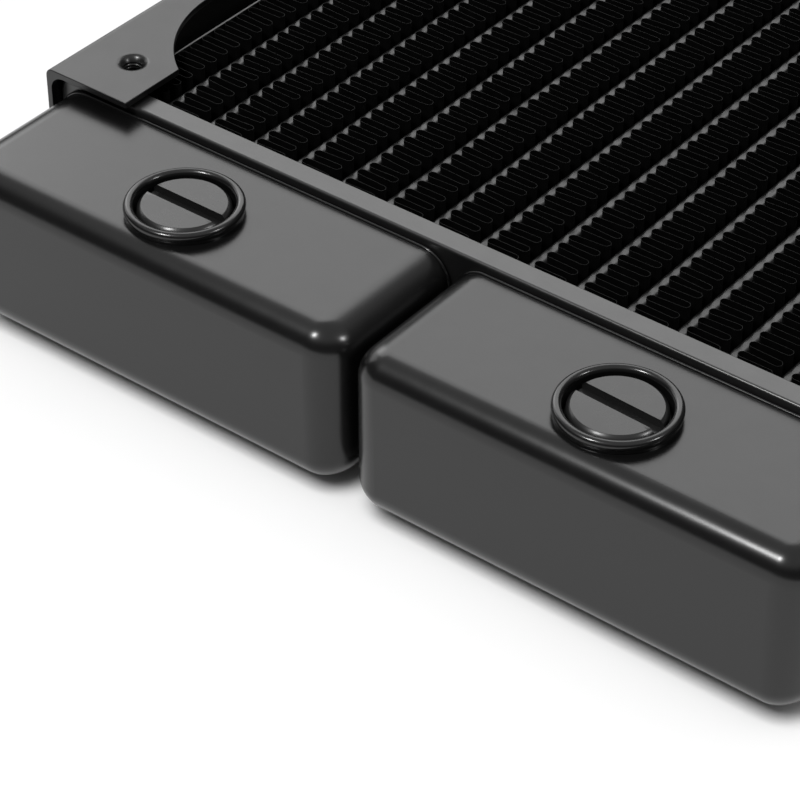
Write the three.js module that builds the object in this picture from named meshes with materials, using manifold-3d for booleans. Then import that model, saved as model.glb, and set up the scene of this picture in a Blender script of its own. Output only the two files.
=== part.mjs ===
// A slim liquid cooling radiator for two 140 mm fans, with both ports at one end.
//
// Millimetres. +X runs across the radiator, +Y from the port end to the return tank, and +Z out of
// the face that carries the ports. The origin is under the middle of the radiator, on the plane that
// the lower fan flanges rest on.

import * as THREE from 'three';
import { RoundedBoxGeometry } from 'three/addons/geometries/RoundedBoxGeometry.js';
import { mergeVertices } from 'three/addons/utils/BufferGeometryUtils.js';
import Module from 'manifold-3d';

const wasm = await Module();
wasm.setup();

// ---- driving dimensions ----

const WIDTH = 142;
const LENGTH = 315;
const THICKNESS = 30;
const GAP = 0.05; // between parts that touch

// fans
const FAN_SIZE = 140;
const FAN_HOLE_SPACING = 124.5;
const FRONT_OVERHANG = 31.4; // port end face to the first row of fan holes

// side panels
const PANEL_SHEET = 0.95;
const PANEL_BEND_OUTER = 1.2;
const PANEL_BEND_INNER = 2.2;
const PANEL_END = 8.6; // past the outermost fan holes
const FLANGE_WIDE = 15.1; // at the fan holes
const FLANGE_NARROW = 5.7; // along the fan blades
const CUTOUT_RADIUS = 21.2;
const CUTOUT_START = 20.2; // fan hole to the end of the narrow stretch
const SCREW_BORE = 1.33; // M3 tapping radius
const SCREW_ENTRY = 2.2;
const SCREW_ENTRY_DEPTH = 0.85;
const SCREW_COLLAR = 2.3;
const SCREW_COLLAR_DEPTH = 1; // under the flange
const SCREW_SIDES = 12;

// header plates
const HEADER_SHEET = 0.8;
const HEADER_FACE = 7; // past the outermost fan holes
const HEADER_DEPTH = 3.55;
const HEADER_WIDTH = WIDTH - 2.2;
const HEADER_HEIGHT = 27.2;
const HEADER_CORNER = 2.5;

// tanks
const TANK_HEIGHT = 24.6;
const TANK_WALL = 0.8;
const TANK_EDGE = 4.6;
const TANK_INSET = 1.8; // outer side of a tank to the outer face of the side panel
const TANK_GAP = 1.2; // between the two front tanks

// core
const TUBE_COUNT = 15;
const TUBE_PITCH = 7.8;
const TUBE_THICKNESS = 2;
const TUBE_HEIGHT = 22.5;
const TUBE_WALL = 0.25;
const TUBE_PROUD = 1; // past the header's face, into the tank
const SLOT_CLEARANCE = 0.06;
const FIN_HEIGHT = 25.5;
const SIDE_PLATE_SHEET = 0.4;

// ports and plugs
const PORT_SETBACK = 20.35; // in front of the first row of fan holes
const BOSS_RIM_OUTER = 8.15;
const BOSS_RIM_HEIGHT = 1.75;
const BOSS_BODY = 7.6;
const BOSS_LENGTH = 8.9; // under the tank's top
const COUNTERBORE = 6.95;
const COUNTERBORE_DEPTH = 3.45; // from the top of the rim
const BORE = 5.78;
const PLUG_HEAD = 6.35;
const PLUG_HEAD_HEIGHT = 1.9;
const PLUG_RECESS = 0.45; // head under the top of the rim
const PLUG_SHANK = 5.7;
const PLUG_LENGTH = 9.6;
const PLUG_CHAMFER = 0.55;
const SLOT_WIDTH = 2;
const SLOT_DEPTH = 1.2;
const ORING_RADIUS = 6.3;
const ORING_SECTION = 0.5;
const PORT_SIDES = 36;

// worked out from the above
const MIDDLE = THICKNESS / 2;
const FRONT = -LENGTH / 2;
const FIRST_HOLES = FRONT + FRONT_OVERHANG;
const LAST_HOLES = FIRST_HOLES + FAN_SIZE + FAN_HOLE_SPACING;
const HOLE_ROWS = [FIRST_HOLES, FIRST_HOLES + FAN_HOLE_SPACING, FIRST_HOLES + FAN_SIZE, LAST_HOLES];
const HOLE_X = FAN_HOLE_SPACING / 2;
const HEADER_FRONT = FIRST_HOLES - HEADER_FACE;
const HEADER_REAR = LAST_HOLES + HEADER_FACE;
const CORE_FRONT = HEADER_FRONT + HEADER_SHEET + GAP;
const CORE_REAR = HEADER_REAR - HEADER_SHEET - GAP;
const CORE_MIDDLE = (CORE_FRONT + CORE_REAR) / 2;
const TANK_TOP = MIDDLE + TANK_HEIGHT / 2;
const TANK_OUTER = WIDTH / 2 - TANK_INSET;
const FRONT_TANK_WIDTH = TANK_OUTER - TANK_GAP / 2;
const PORT_X = (TANK_OUTER + TANK_GAP / 2) / 2;
const PORT_Y = FIRST_HOLES - PORT_SETBACK;
const RIM_TOP = TANK_TOP + GAP + BOSS_RIM_HEIGHT;
const MIDDLE_TUBE = (TUBE_COUNT - 1) / 2;

// ---- finishes ----

const satinBlack = new THREE.MeshStandardMaterial({ color: 0x1b1b1c, roughness: 0.38, metalness: 0 });
const glossBlack = new THREE.MeshStandardMaterial({ color: 0x141415, roughness: 0.2, metalness: 0 });
const finBlack = new THREE.MeshStandardMaterial({ color: 0x0c0c0d, roughness: 0.6, metalness: 0 });
const plugBlack = new THREE.MeshStandardMaterial({ color: 0x19191a, roughness: 0.28, metalness: 0 });
const rubber = new THREE.MeshStandardMaterial({ color: 0x101010, roughness: 0.7, metalness: 0 });

// ---- solids ----

function toSolid(geometry) {
  const bare = geometry.clone();
  bare.deleteAttribute('normal');
  bare.deleteAttribute('uv');
  const welded = mergeVertices(bare);
  const vertProperties = new Float32Array(welded.attributes.position.array);
  const triVerts = new Uint32Array(welded.index.array);
  return new wasm.Manifold(new wasm.Mesh({ numProp: 3, vertProperties, triVerts }));
}

function toGeometry(solid) {
  const mesh = solid.getMesh();
  const geometry = new THREE.BufferGeometry();
  geometry.setAttribute('position', new THREE.BufferAttribute(mesh.vertProperties, 3));
  geometry.setIndex(new THREE.BufferAttribute(mesh.triVerts, 1));
  geometry.computeVertexNormals();
  return geometry;
}

function rectangle(width, height, radius) {
  const shape = new THREE.Shape();
  const x = width / 2 - radius;
  const y = height / 2 - radius;
  shape.absarc(x, y, radius, 0, Math.PI / 2);
  shape.absarc(-x, y, radius, Math.PI / 2, Math.PI);
  shape.absarc(-x, -y, radius, Math.PI, Math.PI * 1.5);
  shape.absarc(x, -y, radius, Math.PI * 1.5, Math.PI * 2);
  return shape;
}

// A shape drawn across X and Z, made solid from y = 0 to y = length.
function alongY(shape, length, curveSegments) {
  const geometry = new THREE.ExtrudeGeometry(shape, { depth: length, bevelEnabled: false, curveSegments });
  geometry.rotateX(Math.PI / 2);
  geometry.translate(0, length, 0);
  return geometry;
}

function turned(profile, segments) {
  const points = profile.map(([radius, z]) => new THREE.Vector2(radius, z));
  const geometry = new THREE.LatheGeometry([...points, points[0]], segments);
  geometry.rotateX(Math.PI / 2);
  return geometry;
}

function block(x0, x1, y0, y1, z0, z1) {
  const geometry = new THREE.BoxGeometry(x1 - x0, y1 - y0, z1 - z0);
  return geometry.translate((x0 + x1) / 2, (y0 + y1) / 2, (z0 + z1) / 2);
}

// ---- side panels: C sections with fan flanges, tapped screw holes and fan cut-outs ----

// The right panel's section, across X and Z.
function channelSection() {
  const outer = WIDTH / 2;
  const flangeEdge = outer - FLANGE_WIDE;
  const web = outer - PANEL_SHEET;
  const top = THICKNESS;
  const shape = new THREE.Shape();
  shape.moveTo(flangeEdge, PANEL_SHEET);
  shape.lineTo(flangeEdge, 0);
  shape.absarc(outer - PANEL_BEND_OUTER, PANEL_BEND_OUTER, PANEL_BEND_OUTER, -Math.PI / 2, 0);
  shape.absarc(outer - PANEL_BEND_OUTER, top - PANEL_BEND_OUTER, PANEL_BEND_OUTER, 0, Math.PI / 2);
  shape.lineTo(flangeEdge, top);
  shape.lineTo(flangeEdge, top - PANEL_SHEET);
  const bendX = web - PANEL_BEND_INNER;
  const bendZ = PANEL_SHEET + PANEL_BEND_INNER;
  shape.absarc(bendX, top - bendZ, PANEL_BEND_INNER, Math.PI / 2, 0, true);
  shape.absarc(bendX, bendZ, PANEL_BEND_INNER, 0, -Math.PI / 2, true);
  return shape;
}

// A round-ended cutter that narrows both flanges beside one fan.
function fanCutter(firstRow) {
  const length = FAN_HOLE_SPACING - 2 * CUTOUT_START + 2 * CUTOUT_RADIUS;
  const shape = rectangle(2 * CUTOUT_RADIUS, length, CUTOUT_RADIUS);
  const geometry = new THREE.ExtrudeGeometry(shape, {
    depth: THICKNESS + 2,
    bevelEnabled: false,
    curveSegments: 9,
  });
  const x = WIDTH / 2 - FLANGE_NARROW - CUTOUT_RADIUS;
  return toSolid(geometry.translate(x, firstRow + FAN_HOLE_SPACING / 2, -1));
}

// The collar and the cutter of one fan screw's hole, drawn for the upper flange at z = 0.
const screwCollar = turned([
  [0, -PANEL_SHEET / 2],
  [0, -PANEL_SHEET - SCREW_COLLAR_DEPTH],
  [SCREW_COLLAR, -PANEL_SHEET - SCREW_COLLAR_DEPTH],
  [SCREW_COLLAR, -PANEL_SHEET / 2],
], SCREW_SIDES);
const screwCutter = turned([
  [0, 1],
  [0, -PANEL_SHEET - SCREW_COLLAR_DEPTH - 1],
  [SCREW_BORE, -PANEL_SHEET - SCREW_COLLAR_DEPTH - 1],
  [SCREW_BORE, -SCREW_ENTRY_DEPTH],
  [SCREW_ENTRY, 0],
  [SCREW_ENTRY, 1],
], SCREW_SIDES);

function sidePanelSolid() {
  const start = FIRST_HOLES - PANEL_END;
  const section = alongY(channelSection(), LAST_HOLES + PANEL_END - start, 3);
  let panel = toSolid(section.translate(0, start, 0));
  panel = panel.subtract(fanCutter(HOLE_ROWS[0]));
  panel = panel.subtract(fanCutter(HOLE_ROWS[2]));
  for (const y of HOLE_ROWS) {
    for (const [z, turn] of [[THICKNESS, 0], [0, Math.PI]]) {
      const collar = screwCollar.clone().rotateX(turn).translate(HOLE_X, y, z);
      const cutter = screwCutter.clone().rotateX(turn).translate(HOLE_X, y, z);
      panel = panel.add(toSolid(collar)).subtract(toSolid(cutter));
    }
  }
  return panel;
}

// ---- header plates: shallow pans folded towards the core, slotted for the tubes ----

// A flat tube's round-ended section, grown by so much on every side.
function tubeOutline(grow) {
  const radius = TUBE_THICKNESS / 2 + grow;
  const reach = (TUBE_HEIGHT - TUBE_THICKNESS) / 2;
  const shape = new THREE.Shape();
  shape.absarc(0, reach, radius, 0, Math.PI);
  shape.absarc(0, -reach, radius, Math.PI, Math.PI * 2);
  return shape;
}

function tubeX(index) {
  return (index - MIDDLE_TUBE) * TUBE_PITCH;
}

// The front plate, with its tank face at y = 0 and its rim towards +Y.
function headerGeometry() {
  let header = toSolid(alongY(rectangle(HEADER_WIDTH, HEADER_HEIGHT, HEADER_CORNER), HEADER_DEPTH, 3));
  const innerWidth = HEADER_WIDTH - 2 * HEADER_SHEET;
  const innerHeight = HEADER_HEIGHT - 2 * HEADER_SHEET;
  const pocket = alongY(rectangle(innerWidth, innerHeight, HEADER_CORNER - HEADER_SHEET), HEADER_DEPTH, 3);
  header = header.subtract(toSolid(pocket.translate(0, HEADER_SHEET, 0)));
  const slot = alongY(tubeOutline(SLOT_CLEARANCE), HEADER_SHEET + 2, 4).translate(0, -1, 0);
  for (let index = 0; index < TUBE_COUNT; index += 1) {
    if (index !== MIDDLE_TUBE) {
      header = header.subtract(toSolid(slot.clone().translate(tubeX(index), 0, 0)));
    }
  }
  return toGeometry(header);
}

// ---- tanks: drawn cups with their mouths against the header plates ----

// The closed end is at y = 0 and the mouth at y = depth; X and Z are centred.
function cupSolid(width, depth) {
  const long = depth + 2 * TANK_EDGE;
  const outer = new RoundedBoxGeometry(width, long, TANK_HEIGHT, 4, TANK_EDGE);
  const inner = new RoundedBoxGeometry(
    width - 2 * TANK_WALL,
    long,
    TANK_HEIGHT - 2 * TANK_WALL,
    2,
    TANK_EDGE - TANK_WALL,
  );
  const mouth = block(-width, width, depth, 2 * long, -TANK_HEIGHT, TANK_HEIGHT);
  const shell = toSolid(outer.translate(0, long / 2, 0));
  const hollow = toSolid(inner.translate(0, long / 2 + TANK_WALL, 0));
  return shell.subtract(hollow).subtract(toSolid(mouth));
}

function frontTankGeometry() {
  const drill = turned([[0, 0], [BOSS_BODY + 0.1, 0], [BOSS_BODY + 0.1, TANK_HEIGHT], [0, TANK_HEIGHT]], 32);
  const cup = cupSolid(FRONT_TANK_WIDTH, HEADER_FRONT - GAP - FRONT);
  return toGeometry(cup.subtract(toSolid(drill.translate(0, PORT_Y - FRONT, 0))));
}

// ---- port bosses, plugs and their O-rings, turned about the port's axis with z = 0 at the rim's top ----

function bossGeometry() {
  const underRim = -BOSS_RIM_HEIGHT;
  const bottom = underRim - BOSS_LENGTH;
  const crown = (BOSS_RIM_OUTER - COUNTERBORE) / 2;
  const ring = COUNTERBORE + crown;
  const profile = [[BORE, bottom], [BOSS_BODY, bottom], [BOSS_BODY, underRim], [BOSS_RIM_OUTER, underRim]];
  for (const degrees of [0, 30, 70, 110, 150, 180]) {
    const angle = THREE.MathUtils.degToRad(degrees);
    const flat = Math.min(Math.sin(angle) / Math.sin(THREE.MathUtils.degToRad(70)), 1);
    profile.push([ring + crown * Math.cos(angle), (flat - 1) * crown]);
  }
  profile.push([COUNTERBORE, -COUNTERBORE_DEPTH], [BORE, -COUNTERBORE_DEPTH]);
  return turned(profile, PORT_SIDES);
}

function plugGeometry() {
  const top = -PLUG_RECESS;
  const shoulder = top - PLUG_HEAD_HEIGHT;
  const tip = top - PLUG_LENGTH;
  const body = turned([
    [0, tip],
    [PLUG_SHANK - PLUG_CHAMFER, tip],
    [PLUG_SHANK, tip + PLUG_CHAMFER],
    [PLUG_SHANK, shoulder],
    [PLUG_HEAD, shoulder],
    [PLUG_HEAD, top - PLUG_CHAMFER],
    [PLUG_HEAD - PLUG_CHAMFER, top],
    [0, top],
  ], PORT_SIDES);
  const half = SLOT_WIDTH / 2;
  const slot = block(-PLUG_HEAD - 1, PLUG_HEAD + 1, -half, half, top - SLOT_DEPTH, top + 1);
  return toGeometry(toSolid(body).subtract(toSolid(slot)));
}

function oringGeometry() {
  const centre = -COUNTERBORE_DEPTH + GAP + ORING_SECTION;
  const profile = [];
  for (let step = 0; step < 8; step += 1) {
    const angle = (step / 8) * 2 * Math.PI;
    profile.push([ORING_RADIUS + ORING_SECTION * Math.cos(angle), centre + ORING_SECTION * Math.sin(angle)]);
  }
  return turned(profile, 24);
}

// ---- assembly ----

function place(group, name, geometry, material, x, y, z) {
  const mesh = new THREE.Mesh(geometry, material);
  mesh.name = name;
  mesh.position.set(x, y, z);
  group.add(mesh);
  return mesh;
}

function twoDigits(number) {
  return String(number).padStart(2, '0');
}

function makeCore() {
  const core = new THREE.Group();
  core.position.set(0, CORE_MIDDLE, MIDDLE);
  const section = tubeOutline(0);
  section.holes.push(tubeOutline(-TUBE_WALL));
  const coreLength = CORE_REAR - CORE_FRONT;
  const tubeLength = HEADER_REAR - HEADER_FRONT + 2 * TUBE_PROUD;
  const tube = alongY(section, tubeLength, 4).translate(0, -tubeLength / 2, 0);
  const blank = alongY(section, coreLength, 4).translate(0, -coreLength / 2, 0);
  for (let index = 0; index < TUBE_COUNT; index += 1) {
    const geometry = index === MIDDLE_TUBE ? blank : tube;
    place(core, `core_tube_${twoDigits(index + 1)}`, geometry, satinBlack, tubeX(index), 0, 0);
  }
  const finWidth = TUBE_PITCH - TUBE_THICKNESS;
  const fin = new THREE.BoxGeometry(finWidth - 2 * GAP, coreLength, FIN_HEIGHT);
  for (let index = 0; index <= TUBE_COUNT; index += 1) {
    const x = tubeX(index) - TUBE_PITCH / 2;
    place(core, `fin_strip_${twoDigits(index + 1)}`, fin, finBlack, x, 0, 0);
  }
  const plate = new THREE.BoxGeometry(SIDE_PLATE_SHEET, coreLength, FIN_HEIGHT);
  const plateX = tubeX(TUBE_COUNT - 1) + TUBE_THICKNESS / 2 + finWidth + SIDE_PLATE_SHEET / 2;
  place(core, 'left_core_side_plate', plate, satinBlack, -plateX, 0, 0);
  place(core, 'right_core_side_plate', plate, satinBlack, plateX, 0, 0);
  return core;
}

function makeHeaders() {
  const headers = new THREE.Group();
  const geometry = headerGeometry();
  place(headers, 'front_header_plate', geometry, satinBlack, 0, HEADER_FRONT, MIDDLE);
  const rear = place(headers, 'rear_header_plate', geometry, satinBlack, 0, HEADER_REAR, MIDDLE);
  rear.rotation.z = Math.PI;
  return headers;
}

function makeTanks() {
  const tanks = new THREE.Group();
  const front = frontTankGeometry();
  place(tanks, 'inlet_tank', front, satinBlack, -PORT_X, FRONT, MIDDLE);
  place(tanks, 'outlet_tank', front, satinBlack, PORT_X, FRONT, MIDDLE);
  const back = toGeometry(cupSolid(2 * TANK_OUTER, LENGTH / 2 - HEADER_REAR - GAP));
  const returnTank = place(tanks, 'return_tank', back, satinBlack, 0, LENGTH / 2, MIDDLE);
  returnTank.rotation.z = Math.PI;
  return tanks;
}

function makePanels() {
  const panels = new THREE.Group();
  const solid = sidePanelSolid();
  place(panels, 'right_side_panel', toGeometry(solid), satinBlack, 0, 0, 0);
  place(panels, 'left_side_panel', toGeometry(solid.mirror([1, 0, 0])), satinBlack, 0, 0, 0);
  return panels;
}

function makePort(side, x) {
  const port = new THREE.Group();
  port.position.set(x, PORT_Y, RIM_TOP);
  place(port, `${side}_port_boss`, bossGeometry(), glossBlack, 0, 0, 0);
  place(port, `${side}_plug`, plugGeometry(), plugBlack, 0, 0, 0);
  place(port, `${side}_plug_oring`, oringGeometry(), rubber, 0, 0, 0);
  return port;
}

const radiator = new THREE.Group();
radiator.add(makeCore());
radiator.add(makeHeaders());
radiator.add(makeTanks());
radiator.add(makePanels());
radiator.add(makePort('inlet', -PORT_X));
radiator.add(makePort('outlet', PORT_X));

export default radiator;
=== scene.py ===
"""The look of a slim liquid cooling radiator: drawn tanks, turned ports with slotted plugs, folded fins,
flat tubes, pressed header plates and folded side panels, in satin black, on a white floor."""
import math
import random

import bmesh
import bpy
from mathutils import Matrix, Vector


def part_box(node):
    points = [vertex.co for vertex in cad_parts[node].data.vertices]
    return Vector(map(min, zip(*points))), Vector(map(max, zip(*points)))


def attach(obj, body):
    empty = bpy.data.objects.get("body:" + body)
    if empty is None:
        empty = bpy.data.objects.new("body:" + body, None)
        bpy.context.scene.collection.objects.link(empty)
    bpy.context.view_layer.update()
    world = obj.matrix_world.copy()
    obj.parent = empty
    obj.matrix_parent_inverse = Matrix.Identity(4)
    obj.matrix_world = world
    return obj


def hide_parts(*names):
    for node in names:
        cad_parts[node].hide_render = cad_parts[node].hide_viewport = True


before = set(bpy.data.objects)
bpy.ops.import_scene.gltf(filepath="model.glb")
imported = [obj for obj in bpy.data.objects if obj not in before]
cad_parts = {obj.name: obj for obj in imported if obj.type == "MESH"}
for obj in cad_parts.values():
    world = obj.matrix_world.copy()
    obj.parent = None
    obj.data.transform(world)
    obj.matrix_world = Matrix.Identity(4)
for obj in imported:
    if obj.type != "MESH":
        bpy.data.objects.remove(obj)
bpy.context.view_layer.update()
scene = bpy.context.scene

MM = 0.001  # sizes below are in millimetres
TURN = 2 * math.pi
SEED = 7


def node_box(node):
    low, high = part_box(node)
    return low / MM, high / MM


# ---- sizes ----

TANK_EDGE = 4.6
TANK_FRONT_EDGE = 3.8  # the same edge along the closed end
TANK_CORNER = 5.2
TANK_WALL = 0.8
BEAD = 0.27  # brazed bead where a tank meets its header plate

HEADER_SHEET = 0.8
HEADER_BEND = 0.45
HEADER_INNER_BEND = 0.1
HEADER_CORNER = 2.5
HEADER_EDGE = 0.12

TUBE_WALL = 0.25
SLOT_CLEARANCE = 0.06
TUBE_BOW = 0.04
TUBE_ROUND = 0.72  # corner radius over half the width

FIN_SHEET = 0.055
FIN_PERIOD = 2.55
FIN_JITTER = 0.1
FIN_SHORT = 0.06  # how far folds stop short of the tubes
FIN_LIFT = 0.07
FOLD_STEPS = 8
SIDE_PLATE_EDGE = 0.12

PANEL_SHEET = 0.95
PANEL_BEND_OUTER = 1.2
PANEL_BEND_INNER = 2.2
PANEL_EDGE = 0.1
FLANGE_NARROW = 5.7
CUTOUT_RADIUS = 21.2
CUTOUT_START = 20.2
FAN_SIZE = 140
FAN_HOLE_SPACING = 124.5
PANEL_END = 8.6
SCREW_PITCH = 0.5
SCREW_MINOR = 1.25
SCREW_MAJOR = 1.42
SCREW_DIMPLE = 2.5
SCREW_DIMPLE_DEPTH = 0.75
SCREW_DIMPLE_FALL = 2.4  # the higher, the later the dimple drops
SCREW_DIMPLE_STEPS = 12
SCREW_COLLAR = 2.15
SCREW_COLLAR_DEPTH = 1

PORT_PITCH = 1.337
PORT_MINOR = 5.8
PORT_THREAD = 0.72
RIM_OUTER = 8.2
RIM_INNER = 6.85
RIM_NECK = 7.88
RIM_HEIGHT = 1.75
BOSS_BODY = 7.6
COUNTERBORE_DEPTH = 3.45
PLUG_HEAD_HEIGHT = 1.9
PLUG_CHAMFER = 0.55
PLUG_BREAK = 0.06  # on both edges of the chamfer
SLOT_WIDTH = 2
SLOT_DEPTH = 1.2
ORING_SECTION = 0.5
SLOT_TURN = {"inlet": 0.0, "outlet": math.radians(-2.5)}

CAMERA_PLACE = (0.18905, -0.38687, 0.25510)  # metres
CAMERA_TURN = (51.564, 0, 37.979)  # degrees
CAMERA_LENS = 134.88
CAMERA_SENSOR = 36
ROOM_RISE = (0.45, 0.8)  # direction z where the ceiling starts and where it is full


# ---- mesh helpers ----


def new_object(name, mesh):
    piece = bpy.data.objects.new(name, mesh)
    scene.collection.objects.link(piece)
    return piece


def mesh_piece(name, points, faces):
    """A closed mesh from points in millimetres, with its faces turned outwards."""
    mesh = bpy.data.meshes.new(name)
    mesh.from_pydata([Vector(p) * MM for p in points], [], faces)
    work = bmesh.new()
    work.from_mesh(mesh)
    bmesh.ops.remove_doubles(work, verts=work.verts, dist=0.0005 * MM)
    bmesh.ops.recalc_face_normals(work, faces=work.faces)
    work.to_mesh(mesh)
    work.free()
    return new_object(name, mesh)


def apply_modifiers(piece):
    graph = bpy.context.evaluated_depsgraph_get()
    done = bpy.data.meshes.new_from_object(piece.evaluated_get(graph))
    piece.modifiers.clear()
    piece.data = done
    return piece


def cut(piece, cutter):
    modifier = piece.modifiers.new("cut", "BOOLEAN")
    modifier.operation = "DIFFERENCE"
    modifier.solver = "EXACT"
    modifier.object = cutter
    apply_modifiers(piece)
    bpy.data.objects.remove(cutter)
    return piece


def round_edges(piece, width, segments=2, angle=40):
    modifier = piece.modifiers.new("edges", "BEVEL")
    modifier.width = width * MM
    modifier.segments = segments
    modifier.limit_method = "ANGLE"
    modifier.angle_limit = math.radians(angle)
    return apply_modifiers(piece)


def smooth(piece, angle=38, flat=False):
    """Smooth shading with creases, and flat faces kept flat beside their rounded edges."""
    for polygon in piece.data.polygons:
        polygon.use_smooth = True
    piece.data.set_sharp_from_angle(angle=math.radians(angle))
    if flat:
        for polygon in piece.data.polygons:
            polygon.use_smooth = max(abs(n) for n in polygon.normal) < 0.99999
        return piece
    modifier = piece.modifiers.new("normals", "WEIGHTED_NORMAL")
    modifier.keep_sharp = True
    return apply_modifiers(piece)


def join(pieces, name):
    """One object from several, with the vertices that meet welded."""
    work = bmesh.new()
    for piece in pieces:
        work.from_mesh(piece.data)
        bpy.data.objects.remove(piece)
    bmesh.ops.remove_doubles(work, verts=work.verts, dist=0.002 * MM)
    mesh = bpy.data.meshes.new(name)
    work.to_mesh(mesh)
    work.free()
    return new_object(name, mesh)


def grid_faces(rows, columns, close_rows=True, close_columns=True):
    """Quads between neighbouring points of rows x columns, numbered along each row in turn."""
    faces = []
    for row in range(rows if close_rows else rows - 1):
        for column in range(columns if close_columns else columns - 1):
            after = (column + 1) % columns
            below = (row + 1) % rows
            faces.append((row * columns + column, row * columns + after,
                          below * columns + after, below * columns + column))
    return faces


def ridge(phase):
    """A screw thread's height from 0 at the root to 1 at the crest, with small flats at both."""
    rise = abs(2 * (phase % 1) - 1)
    return min(1, max(0, (rise - 0.14) / 0.72))


def turned(name, profile, centre, sides=96, pitch=1.0):
    """A closed profile of (radius, z, thread depth) turned about an upright axis through centre.

    A thread of that depth winds right-handed round the axis and stands out past the radius.
    """
    points = []
    for radius, z, depth in profile:
        for side in range(sides):
            angle = TURN * side / sides
            reach = radius
            if depth:
                reach += depth * ridge(z / pitch - side / sides)
            points.append((centre[0] + reach * math.cos(angle), centre[1] + reach * math.sin(angle), z))
    return mesh_piece(name, points, grid_faces(len(profile), sides))


def plain(points):
    return [(radius, z, 0) for radius, z in points]


def arc(centre_r, centre_z, radius, start, end, steps=8):
    """Profile points on an arc, with its angles in degrees from the +radius direction."""
    angles = [math.radians(start + (end - start) * step / steps) for step in range(steps + 1)]
    return [(centre_r + radius * math.cos(a), centre_z + radius * math.sin(a)) for a in angles]


def thread(radius, top, bottom, depth, pitch, per_turn=14, run_out=0.6):
    """Profile points down a threaded wall, whose thread fades at both ends."""
    steps = max(2, round((top - bottom) / pitch * per_turn))
    points = []
    for step in range(steps + 1):
        z = top + (bottom - top) * step / steps
        fade = min(1, (top - z) / (run_out * pitch), (z - bottom) / (run_out * pitch))
        points.append((radius, z, depth * fade + 1e-9))
    return points


def rounded_outline(half_x, half_z, radius, segments=8):
    """Points and outward directions round a rectangle with rounded corners, about the origin."""
    outline = []
    for corner in range(4):
        sign_x = (1, -1, -1, 1)[corner]
        sign_z = (1, 1, -1, -1)[corner]
        for step in range(segments + 1):
            angle = (corner + step / segments) * math.pi / 2
            direction = (math.cos(angle), math.sin(angle))
            outline.append((sign_x * (half_x - radius) + radius * direction[0],
                            sign_z * (half_z - radius) + radius * direction[1], direction))
    return outline


def flat_tube_outline(half_width, half_height, segments=8):
    """A flat tube's section, across X and Z: two straight sides and two flattened ends."""
    radius = half_width * TUBE_ROUND
    return [(x, z) for x, z, _ in rounded_outline(half_width, half_height, radius, segments)]


def extrude_y(name, outline, centre, y0, y1):
    """A solid prism from an outline across X and Z."""
    count = len(outline)
    points = [(centre[0] + x, y, centre[1] + z) for y in (y0, y1) for x, z in outline]
    faces = grid_faces(2, count, close_rows=False)
    faces.append(tuple(range(count)))
    faces.append(tuple(range(2 * count - 1, count - 1, -1)))
    return mesh_piece(name, points, faces)


# ---- finishes ----


class Nodes:
    """A material's node tree, with short ways to add what the finishes below share."""

    def __init__(self, name):
        self.material = bpy.data.materials.new(name)
        self.material.use_nodes = True
        self.tree = self.material.node_tree
        self.shader = self.tree.nodes["Principled BSDF"]
        self.place = self.tree.nodes.new("ShaderNodeTexCoord").outputs["Object"]

    def link(self, source, target):
        self.tree.links.new(source, target)

    def noise(self, size, detail=2.0, roughness=0.5, stretch=(1, 1, 1)):
        """Noise with blotches about size millimetres across, longer where stretch is under 1."""
        mapping = self.tree.nodes.new("ShaderNodeMapping")
        mapping.inputs["Scale"].default_value = stretch
        self.link(self.place, mapping.inputs["Vector"])
        texture = self.tree.nodes.new("ShaderNodeTexNoise")
        texture.inputs["Scale"].default_value = 1 / (size * MM)
        texture.inputs["Detail"].default_value = detail
        texture.inputs["Roughness"].default_value = roughness
        self.link(mapping.outputs["Vector"], texture.inputs["Vector"])
        return texture.outputs["Fac"]

    def ranged(self, value, low, high, from_low=0.3, from_high=0.7):
        scale = self.tree.nodes.new("ShaderNodeMapRange")
        scale.inputs["From Min"].default_value = from_low
        scale.inputs["From Max"].default_value = from_high
        scale.inputs["To Min"].default_value = low
        scale.inputs["To Max"].default_value = high
        self.link(value, scale.inputs["Value"])
        return scale.outputs["Result"]

    def colour(self, value, dark, light):
        mix = self.tree.nodes.new("ShaderNodeMix")
        mix.data_type = "RGBA"
        mix.inputs["A"].default_value = (*dark, 1)
        mix.inputs["B"].default_value = (*light, 1)
        self.link(value, mix.inputs["Factor"])
        self.link(mix.outputs["Result"], self.shader.inputs["Base Color"])

    def bumps(self, layers):
        """Bump layers of (height, depth in millimetres), one over the other."""
        normal = None
        for height, depth in layers:
            bump = self.tree.nodes.new("ShaderNodeBump")
            bump.inputs["Strength"].default_value = 1
            bump.inputs["Distance"].default_value = depth * MM
            self.link(height, bump.inputs["Height"])
            if normal:
                self.link(normal, bump.inputs["Normal"])
            normal = bump.outputs["Normal"]
        self.link(normal, self.shader.inputs["Normal"])


def satin_paint(name, shade, roughness, specular=0.5, peel=0.001, grain=0.0004):
    """Black powder coat: orange peel, fine grain and slightly uneven gloss."""
    nodes = Nodes(name)
    nodes.shader.inputs["Specular IOR Level"].default_value = specular
    nodes.colour(nodes.noise(9, 4), [shade * 0.85] * 3, [shade * 1.2, shade * 1.2, shade * 1.22])
    nodes.link(nodes.ranged(nodes.noise(3.5, 5, 0.6), roughness * 0.94, roughness * 1.07),
               nodes.shader.inputs["Roughness"])
    nodes.bumps([(nodes.noise(1.3, 2), peel), (nodes.noise(0.22, 2, 0.6), grain)])
    return nodes.material


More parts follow.
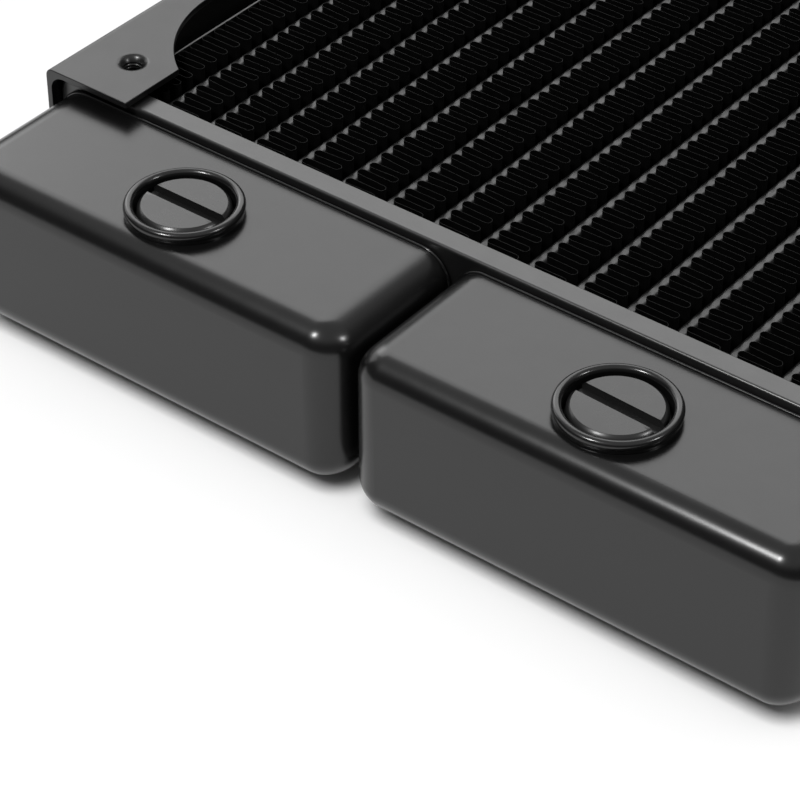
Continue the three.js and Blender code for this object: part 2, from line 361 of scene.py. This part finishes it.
def core_paint(name, shade, roughness, specular):
    """Thin sprayed black on tubes and fins, duller in patches, with streaks along the sheet."""
    nodes = Nodes(name)
    nodes.colour(nodes.noise(6, 4), [shade * 0.75] * 3, [shade * 1.3] * 3)
    nodes.link(nodes.ranged(nodes.noise(1.5, 4), roughness * 0.85, roughness * 1.15),
               nodes.shader.inputs["Roughness"])
    nodes.shader.inputs["Specular IOR Level"].default_value = specular
    nodes.bumps([(nodes.noise(0.5, 3, 0.6, (1, 0.3, 1)), 0.004), (nodes.noise(0.12, 1), 0.0012)])
    return nodes.material


def turned_finish(name, shade, roughness, lines):
    """Machined and blackened metal or plastic: fine upright-axis tool lines under the colour."""
    nodes = Nodes(name)
    nodes.colour(nodes.noise(4, 3), [shade * 0.85] * 3, [shade * 1.2] * 3)
    nodes.link(nodes.ranged(nodes.noise(3, 3), roughness * 0.94, roughness * 1.06),
               nodes.shader.inputs["Roughness"])
    nodes.bumps([(nodes.noise(1.1, 2, 0.5, (1, 1, 3)), lines), (nodes.noise(0.1, 1), lines * 0.12)])
    return nodes.material


def rubber(name):
    nodes = Nodes(name)
    nodes.colour(nodes.noise(1.2, 4), [0.006] * 3, [0.012] * 3)
    nodes.link(nodes.ranged(nodes.noise(0.6, 4), 0.48, 0.62), nodes.shader.inputs["Roughness"])
    nodes.bumps([(nodes.noise(0.15, 3), 0.003)])
    return nodes.material


FINISHES = {
    "tank_paint": satin_paint("satin_black_tank", 0.004, 0.24, 0.48),
    "panel_paint": satin_paint("satin_black_panel", 0.006, 0.3),
    # Painted light: the header plate's base colour is twice the tank's. It is a lit copy of the same satin
    # paint, so the header strip reads brighter than the tank tops.
    "header_paint_painted_light": satin_paint("satin_black_header_painted_light", 0.008, 0.3, 0.72),
    "core_paint": core_paint("thin_black_tube", 0.005, 0.33, 0.5),
    # Painted shade: the fins' base colour is under a third of the tubes'. It is a shaded copy of the same
    # sprayed paint, standing in for the dark core between the tubes.
    "fin_paint": core_paint("thin_black_fin_painted_shade", 0.0015, 0.55, 0.12),
    "boss_paint": turned_finish("gloss_black_boss", 0.005, 0.22, 0.0004),
    "plug_plastic": turned_finish("turned_black_plug", 0.009, 0.28, 0.0003),
    "oring_rubber": rubber("nitrile_rubber"),
}


def finish_piece(piece, node, slot, body="root", angle=38, flat=False, finish=None):
    piece.data.materials.clear()
    piece.data.materials.append(FINISHES[finish or slot])
    smooth(piece, angle, flat)
    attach(piece, body)
    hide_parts(node)
    return piece


# ---- tanks: drawn cups, open towards the core ----


def cup_path(half_x, depth):
    """Points and outward directions round the cup in plan, from one end of the mouth to the other."""
    path = []
    for side in (-1, 1):
        straight = [(side * half_x, -(depth - TANK_CORNER) * step / 8, (side, 0)) for step in range(8)]
        bend = []
        for step in range(17):
            angle = math.pi / 2 * step / 16
            direction = (side * math.cos(angle), -math.sin(angle))
            bend.append((side * (half_x - TANK_CORNER) + TANK_CORNER * direction[0],
                         -(depth - TANK_CORNER) + TANK_CORNER * direction[1], direction))
        half = straight + bend
        path += half if side < 0 else half[::-1]
    return path


def drawn_cup(node, open_sign, port):
    low, high = node_box(node)
    half_x = (high[0] - low[0]) / 2
    half_z = (high[2] - low[2]) / 2
    depth = high[1] - low[1]
    middle = (low + high) / 2
    mouth = high[1] if open_sign > 0 else low[1]
    quarter = arc(0, 0, 1, 90, 0, 16)
    wall = [(side, part) for side in (1, -1) for part in quarter[::side]]  # over the top, then under
    path = cup_path(half_x, depth)
    points = []
    for side, (reach, rise) in wall:
        for x, y, direction in path:
            edge = TANK_EDGE + (TANK_FRONT_EDGE - TANK_EDGE) * direction[1] ** 2
            inset = edge * (1 - reach)
            points.append((middle[0] + x - inset * direction[0],
                           mouth + open_sign * (y - inset * direction[1]),
                           middle[2] + side * (half_z - edge * (1 - rise))))
    faces = grid_faces(len(wall), len(path), False, False)
    faces.append(tuple(range(len(path))))
    faces.append(tuple(range((len(wall) - 1) * len(path), len(wall) * len(path))))
    cup = mesh_piece(node + "_drawn", points, faces)
    lowest = min(cup.data.polygons, key=lambda polygon: polygon.center.z)
    if lowest.normal.z > 0:
        cup.data.flip_normals()
    thickness = cup.modifiers.new("sheet", "SOLIDIFY")
    thickness.thickness = TANK_WALL * MM
    thickness.offset = -1
    apply_modifiers(cup)
    if port:
        hole = BOSS_BODY + 0.05
        above = high[2] + 1
        cut(cup, turned("port_hole", plain([(0, middle[2]), (hole, middle[2]), (hole, above), (0, above)]),
                        port))
    finish_piece(cup, node, "tank_paint", angle=50, flat=True)
    bead = brazed_bead(node, half_x, half_z, middle, mouth, open_sign)
    return cup, bead


def brazed_bead(node, half_x, half_z, middle, mouth, open_sign):
    """A thin line of braze round the mouth, half sunk in the corner between tank and header plate."""
    outline = rounded_outline(half_x, half_z, TANK_EDGE, 12)
    sides = 10
    points = []
    rng = random.Random(SEED + len(node))
    for x, z, direction in outline:
        size = BEAD * rng.uniform(0.93, 1.05)
        for side in range(sides):
            angle = TURN * side / sides
            out = size * math.cos(angle)
            points.append((middle[0] + x + out * direction[0],
                           mouth + open_sign * (size * math.sin(angle) - size),
                           middle[2] + z + out * direction[1]))
    bead = mesh_piece(node + "_bead", points, grid_faces(len(outline), sides))
    bead.data.materials.append(FINISHES["tank_paint"])
    smooth(bead)
    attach(bead, "root")
    return bead


# ---- header plates: pans folded towards the core, slotted for the tubes ----

TUBES = sorted(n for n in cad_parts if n.startswith("core_tube_"))
FINS = sorted(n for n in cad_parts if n.startswith("fin_strip_"))
BLANK_TUBE = TUBES[len(TUBES) // 2]


def pressed_header(node, rim_sign):
    low, high = node_box(node)
    half_x = (high[0] - low[0]) / 2
    half_z = (high[2] - low[2]) / 2
    middle = (low + high) / 2
    face = low[1] if rim_sign > 0 else high[1]
    depth = high[1] - low[1]
    profile = []
    for inset, y in arc(HEADER_BEND, HEADER_BEND, HEADER_BEND, 270, 180):
        profile.append((inset, y))
    for inset, y in arc(HEADER_EDGE, depth - HEADER_EDGE, HEADER_EDGE, 180, 90, 3):
        profile.append((inset, y))
    for inset, y in arc(HEADER_SHEET - HEADER_EDGE, depth - HEADER_EDGE, HEADER_EDGE, 90, 0, 3):
        profile.append((inset, y))
    inner_corner = HEADER_SHEET + HEADER_INNER_BEND
    for inset, y in arc(inner_corner, inner_corner, HEADER_INNER_BEND, 180, 270, 3):
        profile.append((inset, y))
    outline = rounded_outline(half_x, half_z, HEADER_CORNER, 10)
    points = []
    for inset, y in profile:
        for x, z, direction in outline:
            points.append((middle[0] + x - inset * direction[0], face + rim_sign * y,
                           middle[2] + z - inset * direction[1]))
    count = len(outline)
    faces = grid_faces(len(profile), count, close_rows=False)
    faces.append(tuple(range(count)))
    faces.append(tuple(range((len(profile) - 1) * count, len(profile) * count)))
    plate = mesh_piece(node + "_pressed", points, faces)
    cutters = []
    for tube in TUBES:
        if tube == BLANK_TUBE:
            continue
        tube_low, tube_high = node_box(tube)
        centre = (tube_low + tube_high) / 2
        outline = flat_tube_outline((tube_high[0] - tube_low[0]) / 2 + SLOT_CLEARANCE,
                                    (tube_high[2] - tube_low[2]) / 2 + SLOT_CLEARANCE)
        cutters.append(extrude_y("slot", outline, (centre[0], centre[2]), low[1] - 1, high[1] + 1))
    cut(plate, join(cutters, "slots"))
    # The header plate takes the lighter copy of the satin paint in place of its panel_paint slot; the
    # lighter colour is painted light.
    return finish_piece(plate, node, "panel_paint", angle=50, flat=True, finish="header_paint_painted_light")


# ---- core: flat tubes, folded fins and side plates ----


def rolled_tube(node, rng):
    """A hollow flat tube with a slight bow along its length."""
    low, high = node_box(node)
    centre = (low + high) / 2
    half_width = (high[0] - low[0]) / 2
    half_height = (high[2] - low[2]) / 2
    skins = (flat_tube_outline(half_width, half_height, 12),
             flat_tube_outline(half_width - TUBE_WALL, half_height - TUBE_WALL, 12))
    stations = 24
    waves = [(rng.uniform(0.4, 1), rng.uniform(0, TURN), count) for count in (2, 3, 5)]
    points = []
    faces = []
    for outline in skins:
        for station in range(stations + 1):
            along = station / stations
            envelope = math.sin(math.pi * along)
            bow = TUBE_BOW * envelope * sum(w * math.sin(TURN * along * n + p) for w, p, n in waves)
            y = low[1] + (high[1] - low[1]) * along
            points.extend((centre[0] + x + bow * 0.5, y, centre[2] + z) for x, z in outline)
    count = len(skins[0])
    ring = (stations + 1) * count
    for skin in range(2):
        faces.extend(tuple(skin * ring + i for i in face)
                     for face in grid_faces(stations + 1, count, close_rows=False))
    for end in (0, stations * count):
        for i in range(count):
            after = (i + 1) % count
            faces.append((end + i, end + after, ring + end + after, ring + end + i))
    tube = mesh_piece(node + "_rolled", points, faces)
    return finish_piece(tube, node, "core_paint")


def folded_fin(node, rng):
    """One long strip folded to and fro between two tubes, its folds round and slightly uneven."""
    low, high = node_box(node)
    middle = (low[0] + high[0]) / 2
    half = (high[0] - low[0]) / 2 - FIN_SHEET / 2
    bottom, top = low[2], high[2]
    length = high[1] - low[1]
    count = round(length / FIN_PERIOD)
    period = length / count
    radius = period / 4
    phase = rng.uniform(0, 0.5) * period
    line = []
    for fold in range(2 * count - 1):
        side = 1 if fold % 2 == 0 else -1
        shift = rng.uniform(-1, 1) * FIN_JITTER
        reach = half - abs(rng.gauss(0, FIN_SHORT))
        lift = rng.gauss(0, FIN_LIFT)
        y = low[1] + radius + phase * 0.5 + fold * period / 2 + shift
        for step in range(FOLD_STEPS + 1):
            angle = -math.pi / 2 + math.pi * step / FOLD_STEPS
            line.append((middle + side * (reach - radius + radius * math.cos(angle)),
                         min(high[1], y + radius * math.sin(angle)), lift))
    points = []
    for index, (x, y, lift) in enumerate(line):
        before = line[max(0, index - 1)]
        after = line[min(len(line) - 1, index + 1)]
        along = Vector((after[0] - before[0], after[1] - before[1]))
        along.normalize()
        across = Vector((-along.y, along.x)) * FIN_SHEET / 2
        for sign, z in ((1, top + lift), (-1, top + lift), (-1, bottom + lift), (1, bottom + lift)):
            points.append((x + sign * across.x, y + sign * across.y, z))
    faces = grid_faces(len(line), 4, close_rows=False)
    faces.append((0, 1, 2, 3))
    last = 4 * (len(line) - 1)
    faces.append((last + 3, last + 2, last + 1, last))
    fin = mesh_piece(node + "_folded", points, faces)
    # The fins take the darker copy of the core paint; the darker colour is painted shade.
    return finish_piece(fin, node, "fin_paint")


def core_side_plate(node):
    low, high = node_box(node)
    outline = [(low[0], low[2]), (high[0], low[2]), (high[0], high[2]), (low[0], high[2])]
    plate = extrude_y(node + "_cut", outline, (0, 0), low[1], high[1])
    round_edges(plate, SIDE_PLATE_EDGE)
    return finish_piece(plate, node, "core_paint")


# ---- side panels: folded C sections with fan flanges, cut-outs and drawn screw holes ----


def channel_outline(side, outer, edge, bottom, top):
    """The panel's section across X and Z, with both bends."""
    web = outer - PANEL_SHEET
    points = [(edge, bottom)]
    points += arc(outer - PANEL_BEND_OUTER, bottom + PANEL_BEND_OUTER, PANEL_BEND_OUTER, -90, 0)
    points += arc(outer - PANEL_BEND_OUTER, top - PANEL_BEND_OUTER, PANEL_BEND_OUTER, 0, 90)
    points += [(edge, top), (edge, top - PANEL_SHEET)]
    bend_x = web - PANEL_BEND_INNER
    bend_z = PANEL_SHEET + PANEL_BEND_INNER
    points += arc(bend_x, top - bend_z, PANEL_BEND_INNER, 90, 0)
    points += arc(bend_x, bottom + bend_z, PANEL_BEND_INNER, 0, -90)
    points.append((edge, bottom + PANEL_SHEET))
    return [(side * x, z) for x, z in points]


def upright_prism(name, outline, z0, z1):
    count = len(outline)
    points = [(x, y, z) for z in (z0, z1) for x, y in outline]
    faces = grid_faces(2, count, close_rows=False)
    faces.append(tuple(range(count)))
    faces.append(tuple(range(2 * count - 1, count - 1, -1)))
    return mesh_piece(name, points, faces)


def screw_collar(place, surface, up):
    """The metal drawn down round a screw hole, with its thread; up is 1 on the upper flange."""
    depth = PANEL_SHEET + SCREW_COLLAR_DEPTH
    fall = []
    for step in range(SCREW_DIMPLE_STEPS + 1):
        share = step / SCREW_DIMPLE_STEPS
        drop = SCREW_DIMPLE_DEPTH * share ** SCREW_DIMPLE_FALL
        fall.append((SCREW_DIMPLE - (SCREW_DIMPLE - SCREW_MAJOR) * share, -drop, 0))
    profile = fall + thread(SCREW_MAJOR, -SCREW_DIMPLE_DEPTH, -depth, SCREW_MINOR - SCREW_MAJOR,
                            SCREW_PITCH, 8)
    profile += plain([(SCREW_COLLAR - 0.15, -depth), (SCREW_COLLAR, -depth + 0.15)])
    profile += plain(arc(SCREW_COLLAR + 0.2, -PANEL_SHEET - 0.2, 0.2, 180, 90, 3))
    profile += plain([(SCREW_DIMPLE, -PANEL_SHEET)])
    shaped = [(radius, surface + up * z, thread_depth) for radius, z, thread_depth in profile]
    return turned("collar", shaped, place, 48, SCREW_PITCH)


def formed_panel(node, side):
    low, high = node_box(node)
    outer = max(abs(low[0]), abs(high[0]))
    edge = min(abs(low[0]), abs(high[0]))
    panel = extrude_y(node + "_formed", channel_outline(side, outer, edge, low[2], high[2]), (0, 0),
                      low[1], high[1])
    first_row = low[1] + PANEL_END
    rows = [first_row, first_row + FAN_HOLE_SPACING, first_row + FAN_SIZE,
            first_row + FAN_SIZE + FAN_HOLE_SPACING]
    for start in (rows[0], rows[2]):
        half_length = FAN_HOLE_SPACING / 2 - CUTOUT_START + CUTOUT_RADIUS
        outline = rounded_outline(CUTOUT_RADIUS, half_length, CUTOUT_RADIUS - 0.001, 40)
        centre_x = side * (outer - FLANGE_NARROW - CUTOUT_RADIUS)
        centre_y = start + FAN_HOLE_SPACING / 2
        cutter = upright_prism("fan", [(centre_x + x, centre_y + y) for x, y, _ in outline],
                               low[2] - 1, high[2] + 1)
        cut(panel, cutter)
    round_edges(panel, PANEL_EDGE)
    collars = []
    hole_x = side * FAN_HOLE_SPACING / 2
    for row in rows:
        place = (hole_x, row)
        cut(panel, turned("hole", plain([(0, low[2] - 1), (SCREW_DIMPLE, low[2] - 1),
                                         (SCREW_DIMPLE, high[2] + 1), (0, high[2] + 1)]), place, 48))
        collars.append(screw_collar(place, high[2], 1))
        collars.append(screw_collar(place, low[2], -1))
    panel = join([panel] + collars, node + "_formed")
    return finish_piece(panel, node, "panel_paint", angle=50, flat=True)


# ---- ports, plugs and seals ----


def port_centre(name):
    low, high = node_box(name + "_port_boss")
    return ((low[0] + high[0]) / 2, (low[1] + high[1]) / 2)


def port_boss(name):
    node = name + "_port_boss"
    low, high = node_box(node)
    top = high[2]
    seat = top - RIM_HEIGHT
    crown = (RIM_OUTER - RIM_INNER) / 2
    middle = (RIM_OUTER + RIM_INNER) / 2
    profile = plain([(BOSS_BODY, seat), (RIM_NECK, seat), (RIM_NECK, seat + 0.3)])
    profile += plain(arc(middle, top - crown, crown, -50, 180, 24))
    floor = top - COUNTERBORE_DEPTH
    profile += plain([(RIM_INNER, floor), (PORT_MINOR + PORT_THREAD + 0.15, floor)])
    profile += thread(PORT_MINOR + PORT_THREAD, floor - 0.15, low[2] + 0.3, -PORT_THREAD, PORT_PITCH)
    profile += plain([(PORT_MINOR + PORT_THREAD, low[2]), (BOSS_BODY, low[2])])
    boss = turned(node + "_turned", profile, port_centre(name), 128, PORT_PITCH)
    return finish_piece(boss, node, "boss_paint", angle=50)


def screw_plug(name):
    node = name + "_plug"
    low, high = node_box(node)
    centre = port_centre(name)
    head = (high[0] - low[0]) / 2
    top = high[2]
    under = top - PLUG_HEAD_HEIGHT
    shank = PORT_MINOR - 0.1
    neck = under - 1.3
    soft = PLUG_BREAK * 0.4
    profile = plain([(0, top), (head - PLUG_CHAMFER - PLUG_BREAK, top)])
    profile += plain([(head - PLUG_CHAMFER, top - soft), (head - soft, top - PLUG_CHAMFER)])
    profile += plain([(head, top - PLUG_CHAMFER - PLUG_BREAK), (head, under + 0.15), (head - 0.15, under)])
    profile += plain([(shank, under), (shank, neck)])
    profile += thread(shank, neck, low[2] + 0.35, PORT_THREAD - 0.08, PORT_PITCH)
    profile += plain([(shank - 0.35, low[2]), (0, low[2])])
    plug = turned(node + "_threaded", profile, centre, 128, PORT_PITCH)
    angle = SLOT_TURN[name]
    reach = head + 1
    outline = []
    for across, along in ((-1, -1), (1, -1), (1, 1), (-1, 1)):
        x = along * reach
        y = across * SLOT_WIDTH / 2
        outline.append((centre[0] + x * math.cos(angle) - y * math.sin(angle),
                        centre[1] + x * math.sin(angle) + y * math.cos(angle)))
    cut(plug, upright_prism("slot", outline, top - SLOT_DEPTH, top + 1))
    return finish_piece(plug, node, "plug_plastic", name + "_plug", angle=30)


def plug_seal(name):
    node = name + "_plug_oring"
    low, high = node_box(node)
    middle = (high[0] - low[0]) / 2 - ORING_SECTION
    profile = plain(arc(middle, (low[2] + high[2]) / 2, ORING_SECTION, 0, 337.5, 15))
    ring = turned(node + "_moulded", profile, port_centre(name), 128)
    return finish_piece(ring, node, "oring_rubber", name + "_seal")


def build_radiator():
    rng = random.Random(SEED)
    drawn_cup("inlet_tank", 1, port_centre("inlet"))
    drawn_cup("outlet_tank", 1, port_centre("outlet"))
    drawn_cup("return_tank", -1, None)
    pressed_header("front_header_plate", 1)
    pressed_header("rear_header_plate", -1)
    for node in TUBES:
        rolled_tube(node, rng)
    for node in FINS:
        folded_fin(node, rng)
    for side, name in ((-1, "left"), (1, "right")):
        core_side_plate(name + "_core_side_plate")
        formed_panel(name + "_side_panel", side)
    for name in ("inlet", "outlet"):
        port_boss(name)
        screw_plug(name)
        plug_seal(name)


# ---- floor, light and camera ----


def white_floor():
    mesh = bpy.data.meshes.new("floor")
    reach = 6.0
    mesh.from_pydata([(-reach, -reach, 0), (reach, -reach, 0), (reach, reach, 0), (-reach, reach, 0)], [],
                     [(0, 1, 2, 3)])
    floor = new_object("floor", mesh)
    nodes = Nodes("white_paper")
    nodes.colour(nodes.noise(40, 3), [0.9] * 3, [0.92] * 3)
    nodes.shader.inputs["Roughness"].default_value = 0.9
    nodes.shader.inputs["Specular IOR Level"].default_value = 0.1
    floor.data.materials.append(nodes.material)
    return floor


def area_light(name, direction, distance, width, height, radiance, aim=(0, -0.1, 0.015)):
    """A soft box of even radiance, seen along direction from aim."""
    light = bpy.data.lights.new(name, "AREA")
    light.shape = "RECTANGLE"
    light.size = width
    light.size_y = height
    light.energy = radiance * math.pi * width * height
    light.spread = math.pi
    lamp = bpy.data.objects.new(name, light)
    scene.collection.objects.link(lamp)
    back = Vector(direction).normalized()
    lamp.location = Vector(aim) + back * distance
    lamp.rotation_euler = back.to_track_quat("Z", "Y").to_euler()
    return lamp


def link_light(lamp, receiver, state):
    """INCLUDE: lamp lights that one object and no other. EXCLUDE: it lights all but that one."""
    group = bpy.data.collections.new(lamp.name + "_receivers")
    group.objects.link(receiver)
    lamp.light_linking.receiver_collection = group
    group.collection_objects[0].light_linking.link_state = state


def dim_room(low, high, backdrop):
    """A dim grey room with a lighter ceiling, which the camera sees as a pale backdrop."""
    world = bpy.data.worlds.new("room")
    scene.world = world
    world.use_nodes = True
    tree = world.node_tree
    background = tree.nodes["Background"]
    path = tree.nodes.new("ShaderNodeLightPath")
    mix = tree.nodes.new("ShaderNodeMix")
    mix.data_type = "RGBA"
    where = tree.nodes.new("ShaderNodeTexCoord")
    split = tree.nodes.new("ShaderNodeSeparateXYZ")
    tree.links.new(where.outputs["Generated"], split.inputs["Vector"])
    rise = tree.nodes.new("ShaderNodeMapRange")
    rise.interpolation_type = "SMOOTHSTEP"
    rise.inputs["From Min"].default_value = ROOM_RISE[0]
    rise.inputs["From Max"].default_value = ROOM_RISE[1]
    rise.inputs["To Min"].default_value = low
    rise.inputs["To Max"].default_value = high
    tree.links.new(split.outputs["Z"], rise.inputs["Value"])
    tree.links.new(rise.outputs["Result"], mix.inputs["A"])
    mix.inputs["B"].default_value = (backdrop, backdrop, backdrop, 1)
    tree.links.new(path.outputs["Is Camera Ray"], mix.inputs["Factor"])
    tree.links.new(mix.outputs["Result"], background.inputs["Color"])


def place_camera():
    camera = bpy.data.cameras.new("camera")
    camera.sensor_width = CAMERA_SENSOR
    camera.lens = CAMERA_LENS
    camera.clip_start = 0.01
    eye = bpy.data.objects.new("camera", camera)
    scene.collection.objects.link(eye)
    eye.location = CAMERA_PLACE
    eye.rotation_euler = [math.radians(degrees) for degrees in CAMERA_TURN]
    scene.camera = eye


def light_scene():
    floor = white_floor()
    link_light(area_light("floor_light", (0.1, -0.55, 1), 1.5, 0.7, 0.7, 13.4), floor, "INCLUDE")
    link_light(area_light("back_light", (-0.5, 0.62, 0.64), 1.2, 1.4, 0.7, 2.42), floor, "EXCLUDE")
    link_light(area_light("front_lamp", (-0.165, -0.56, 0.8), 0.8, 0.08, 0.15, 88), floor, "EXCLUDE")
    link_light(area_light("side_lamp", (0.76, 0.16, 0.63), 0.8, 0.09, 0.09, 50), floor, "EXCLUDE")
    link_light(area_light("left_fill", (-0.86, 0.22, 0.42), 1.2, 0.9, 0.5, 1.6), floor, "EXCLUDE")
    dim_room(0.08, 0.62, 1.0)
    scene.view_settings.view_transform = "Standard"
    scene.view_settings.look = "None"


build_radiator()
light_scene()
place_camera()
